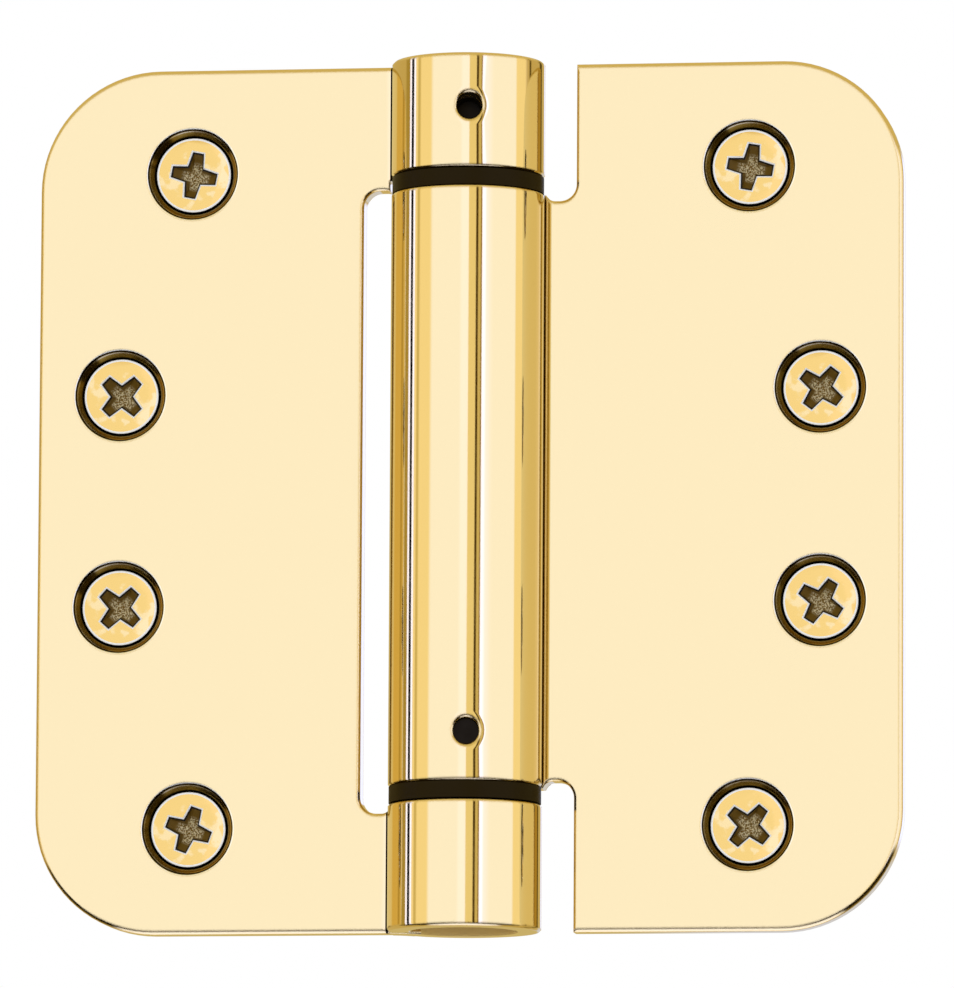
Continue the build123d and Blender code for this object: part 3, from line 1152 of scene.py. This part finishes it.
    def build(self, plating: bpy.types.Material, torn: bpy.types.Material) -> bpy.types.Mesh:
        """Cut the recess into the body and shade it smooth.

        Args:
            plating: the finish of the outside.
            torn: the finish of the recess.

        Returns:
            The screw's mesh, in metres.
        """
        pieces = []
        for name, made, material in (
            ("screw_blank", self.body(), plating),
            ("recess_punch", self.recess(), torn),
        ):
            bmesh.ops.scale(made, vec=(MM, MM, MM), verts=made.verts)
            data = bpy.data.meshes.new(name)
            made.to_mesh(data)
            made.free()
            data.materials.append(material)
            pieces.append(new_object(name, data))
        blank, punch = pieces
        cut = blank.modifiers.new("recess", "BOOLEAN")
        cut.operation = "DIFFERENCE"
        cut.object = punch
        cut.solver = "EXACT"
        cut.material_mode = "TRANSFER"
        graph = bpy.context.evaluated_depsgraph_get()
        graph.update()
        mesh = bpy.data.meshes.new_from_object(blank.evaluated_get(graph))
        for piece in pieces:
            bpy.data.objects.remove(piece)
        mesh.name = "wood_screw"
        mesh.shade_smooth()
        mesh.set_sharp_from_angle(angle=math.radians(self.sharp_angle))
        return mesh


@dataclass
class ScrewSet:
    """The eight screws in their countersunk holes."""

    screw: WoodScrew = WoodScrew()
    frame_turns: tuple[float, ...] = (11.0, 45.0, 42.0, 20.0)
    door_turns: tuple[float, ...] = (10.0, 37.0, 32.0, 40.0)

    def dress(self, frame: dict) -> None:
        """Make each screw and put it where its node is.

        Args:
            frame: the loaded frame.
        """
        mesh = self.screw.build(BrightPlating().make(), StampedRecess().make())
        for side, turns in (("frame", self.frame_turns), ("door", self.door_turns)):
            for number, turn in enumerate(turns, start=1):
                self.seat(mesh, f"{side}_screw_{number}", turn, f"{side}_side")

    def seat(self, mesh: bpy.types.Mesh, node: str, turn: float, body: str) -> None:
        """Place one screw, head towards -Y, over the node that it stands for.

        Args:
            mesh: the screw's mesh.
            node: the node that it replaces.
            turn: how far its recess is turned, in degrees.
            body: the body that it rides on.
        """
        low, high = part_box(node)
        piece = new_object(f"{node}_threaded", mesh.copy())
        lay = Matrix(((1, 0, 0), (0, 0, 1), (0, -1, 0))).to_4x4()
        place = Matrix.Translation(((low.x + high.x) / 2, low.y, (low.z + high.z) / 2))
        piece.matrix_world = place @ lay @ Matrix.Rotation(math.radians(turn), 4, "Z")
        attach(piece, body)
        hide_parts(node)
        log.info("seated %s on %s", piece.name, body)


@dataclass(frozen=True)
class LightPanel:
    """A soft light or card of the studio, as a range of directions round the hinge.

    Angles are degrees. Heading 0 is the camera's side (-Y) and grows towards +X, and a rise
    of 90 is straight up. A range that is left out holds everywhere.
    """

    name: str
    colour: tuple[float, float, float]
    headings: tuple[float, float] | None = None
    edges: tuple[float, float] = (1.5, 1.5)
    rises: tuple[float, float] | None = None
    rise_edges: tuple[float, float] = (8.0, 8.0)


@dataclass
class Studio:
    """Surrounding light cards, pale floor and white backdrop."""

    around: tuple[float, float, float] = (0.60, 0.47, 0.18)
    fold_tint: tuple[float, float, float] = (0.76, 0.74, 0.52)
    deep_tint: tuple[float, float, float] = (0.45, 0.40, 0.25)
    floor_drop_m: float = 0.30
    floor_size_m: float = 8.0
    floor_colour: str = "#F4F3F0"
    floor_roughness: float = 0.7
    panels: tuple[LightPanel, ...] = (
        LightPanel("left side gap", (0.42, 0.31, 0.07), (-101, -91), (6, 1)),
        LightPanel("left side strip", (1.3, 1.45, 2.6), (-91.5, -87.8), (1, 0.4)),
        LightPanel("left card's edge", (0.0, 0.0, 0.0), (-87.8, -82.6), (0.4, 0.4)),
        LightPanel("left hot strip", (1.3, 1.45, 2.6), (-82.6, -78.8), (0.4, 2)),
        LightPanel("left gold edge", (1.03, 0.90, 0.55), (-78.6, -40), (2, 4)),
        LightPanel("left card's fold", (0.68, 0.56, 0.24), (-74.5, -69.5), (2, 3)),
        LightPanel("left soft box", (1.11, 1.17, 1.40), (-49, 9.3), (6, 0.8)),
        LightPanel("left hot centre", (1.20, 1.25, 1.64), (-2.5, 9.3), (5, 0.8)),
        LightPanel("camera stand", (0.92, 0.80, 0.44), (9.3, 20.2), (1, 0.6)),
        LightPanel("camera", (0.06, 0.03, 0.0), (20.2, 23.6), (0.8, 0.8)),
        LightPanel("camera's back", (0.68, 0.56, 0.24), (23.6, 27.4), (0.8, 0.8)),
        LightPanel("camera's far edge", (0.30, 0.20, 0.03), (27.4, 29.4), (0.8, 0.8)),
        LightPanel("right hot edge", (1.20, 1.25, 1.80), (29.6, 90), (0.6, 50)),
        LightPanel("right hot line", (1.35, 1.5, 2.7), (29.6, 35), (0.6, 4)),
        LightPanel("right soft box", (1.11, 1.17, 1.40), (42, 86), (12, 3)),
        LightPanel("right gold edge", (1.03, 0.90, 0.55), (85, 105), (3, 6)),
        LightPanel("right card's back", (0.12, 0.08, 0.01), (112.5, 117), (1.5, 1.5)),
        LightPanel("rear dark card", (0.10, 0.07, 0.01), (143, 153), (3, 3)),
        LightPanel("rear card", (1.0, 1.13, 1.75), (168, 178), (3, 3), (1, 14), (3, 4)),
        LightPanel("rear low card", (0.66, 0.69, 0.80), (158, 180), (5, 0.01), (-14, -1), (4, 3)),
        LightPanel(
            "the same, past 180", (0.66, 0.69, 0.80), (-180, -173), (0.01, 0.8), (-14, -1), (4, 3)
        ),
        LightPanel("dark under the table", (0.02, 0.014, 0.004), (-110, 110), (8, 8), (-62, -16)),
        LightPanel("table top", (1.25, 1.32, 1.80), rises=(-90, -62)),
        LightPanel("upper room", (0.68, 0.56, 0.24), rises=(24, 90)),
    )

    def build(self) -> None:
        """Make the world and the floor."""
        self.build_world()
        self.build_floor()

    def window(
        self, tree: Tree, angle: Socket, span: tuple[float, float], edges: tuple[float, float]
    ) -> Socket:
        """Shape a soft-edged range of angles.

        Args:
            tree: the world's node tree.
            angle: the direction's angle, in degrees.
            span: where the range starts and ends.
            edges: the width of the soft edge at its start and at its end.

        Returns:
            1 inside the range and 0 outside.
        """
        sides = []
        for limit, soft in ((span[0], edges[0]), (span[1], -edges[1])):
            side = add_node(
                tree,
                "ShaderNodeMapRange",
                {"interpolation_type": "SMOOTHSTEP"},
                {"Value": angle, "From Min": limit - soft / 2, "From Max": limit + soft / 2},
            )
            sides.append(side.outputs[0])
        return product(tree, sides)

    def directions(self, tree: Tree) -> tuple[Socket, Socket]:
        """Work out where a ray is going.

        Args:
            tree: the world's node tree.

        Returns:
            Its heading and its rise, in degrees.
        """
        place = add_node(tree, "ShaderNodeTexCoord")
        parts = add_node(tree, "ShaderNodeSeparateXYZ", links={0: place.outputs["Generated"]})
        forward = add_node(
            tree, "ShaderNodeMath", {"operation": "MULTIPLY"}, {0: parts.outputs["Y"], 1: -1.0}
        )
        turn = add_node(
            tree,
            "ShaderNodeMath",
            {"operation": "ARCTAN2"},
            {0: parts.outputs["X"], 1: forward.outputs[0]},
        )
        climb = add_node(tree, "ShaderNodeMath", {"operation": "ARCSINE"}, {0: parts.outputs["Z"]})
        heading, rise = (
            add_node(tree, "ShaderNodeMath", {"operation": "DEGREES"}, {0: angle.outputs[0]})
            for angle in (turn, climb)
        )
        return heading.outputs[0], rise.outputs[0]

    def build_world(self) -> None:
        """Make the surrounding light, which only reflections see as cards."""
        world = bpy.data.worlds.new("studio")
        bpy.context.scene.world = world
        world.use_nodes = True
        tree = world.node_tree
        tree.nodes.clear()
        heading, rise = self.directions(tree)
        colour: object = (*self.around, 1.0)
        for panel in self.panels:
            shares = []
            if panel.headings:
                shares.append(self.window(tree, heading, panel.headings, panel.edges))
            if panel.rises:
                shares.append(self.window(tree, rise, panel.rises, panel.rise_edges))
            mixed = add_node(
                tree,
                "ShaderNodeMix",
                {"data_type": "RGBA", "label": panel.name},
                {0: product(tree, shares), 6: colour, 7: (*panel.colour, 1.0)},
            )
            colour = mixed.outputs[2]
        path = add_node(tree, "ShaderNodeLightPath")
        for bounce, tint in ((1.0, self.fold_tint), (2.0, self.deep_tint)):
            folds = add_node(
                tree,
                "ShaderNodeMapRange",
                links={
                    "Value": path.outputs["Glossy Depth"],
                    "From Min": bounce,
                    "From Max": bounce + 1.0,
                },
            )
            dimmed = add_node(
                tree,
                "ShaderNodeMix",
                {"data_type": "RGBA", "blend_type": "MULTIPLY"},
                {0: folds.outputs[0], 6: colour, 7: (*tint, 1.0)},
            )
            colour = dimmed.outputs[2]
        seen = add_node(
            tree,
            "ShaderNodeMix",
            {"data_type": "RGBA"},
            {0: path.outputs["Is Glossy Ray"], 6: (1.0, 1.0, 1.0, 1.0), 7: colour},
        )
        glow = add_node(tree, "ShaderNodeBackground", links={"Color": seen.outputs[2]})
        add_node(tree, "ShaderNodeOutputWorld", links={"Surface": glow.outputs[0]})

    def build_floor(self) -> None:
        """Make the pale floor, well below the hinge."""
        mesh = bmesh.new()
        bmesh.ops.create_grid(mesh, x_segments=2, y_segments=2, size=self.floor_size_m / 2)
        bmesh.ops.translate(mesh, vec=(0, 0, -self.floor_drop_m), verts=mesh.verts)
        data = bpy.data.meshes.new("studio_floor")
        mesh.to_mesh(data)
        mesh.free()
        floor = new_object("studio_floor", data)
        material = bpy.data.materials.new("pale_floor")
        material.use_nodes = True
        shader = material.node_tree.nodes["Principled BSDF"]
        shader.inputs["Base Color"].default_value = linear(self.floor_colour)
        shader.inputs["Roughness"].default_value = self.floor_roughness
        put_on(floor, material)
        floor.visible_glossy = False
        floor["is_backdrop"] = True


@dataclass
class Camera:
    """The photograph's viewpoint, kept as a heading, an elevation and a scale."""

    distance: float = 1500.0
    heading: float = 8.0
    elevation: float = -7.0
    roll: float = 0.32
    target: tuple[float, float, float] = (1.38, 0.0, 57.38)
    pixels_per_mm: float = 7.65
    frame_height: float = 988.0
    sensor: float = 36.0
    clip_m: tuple[float, float] = (0.05, 20.0)

    def build(self) -> None:
        """Make the camera and set it as the scene's own."""
        data = bpy.data.cameras.new("product_camera")
        data.sensor_width = self.sensor
        data.lens = self.pixels_per_mm * self.distance / self.frame_height * self.sensor
        data.clip_start, data.clip_end = self.clip_m
        camera = new_object("product_camera", data)
        heading, elevation = math.radians(self.heading), math.radians(self.elevation)
        back = Vector(
            (
                math.sin(heading) * math.cos(elevation),
                -math.cos(heading) * math.cos(elevation),
                math.sin(elevation),
            )
        )
        camera.location = (Vector(self.target) + back * self.distance) * MM
        look = (-back).to_track_quat("-Z", "Y").to_matrix()
        camera.rotation_euler = (look @ Matrix.Rotation(math.radians(self.roll), 3, "Z")).to_euler()
        bpy.context.scene.camera = camera


def main() -> None:
    """Load the frame, dress every piece and light the scene."""
    logging.basicConfig(level=logging.INFO, format="%(name)s: %(message)s")
    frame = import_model()
    Camera().build()
    Studio().build()
    for part in (Leaves(), BarrelWorks(), WindingSpring(), ScrewSet()):
        part.dress(frame)
        log.info("dressed %s", type(part).__name__)
    view = bpy.context.scene.view_settings
    view.view_transform = "Standard"
    view.look = "None"


if __name__ == "__main__":
    main()
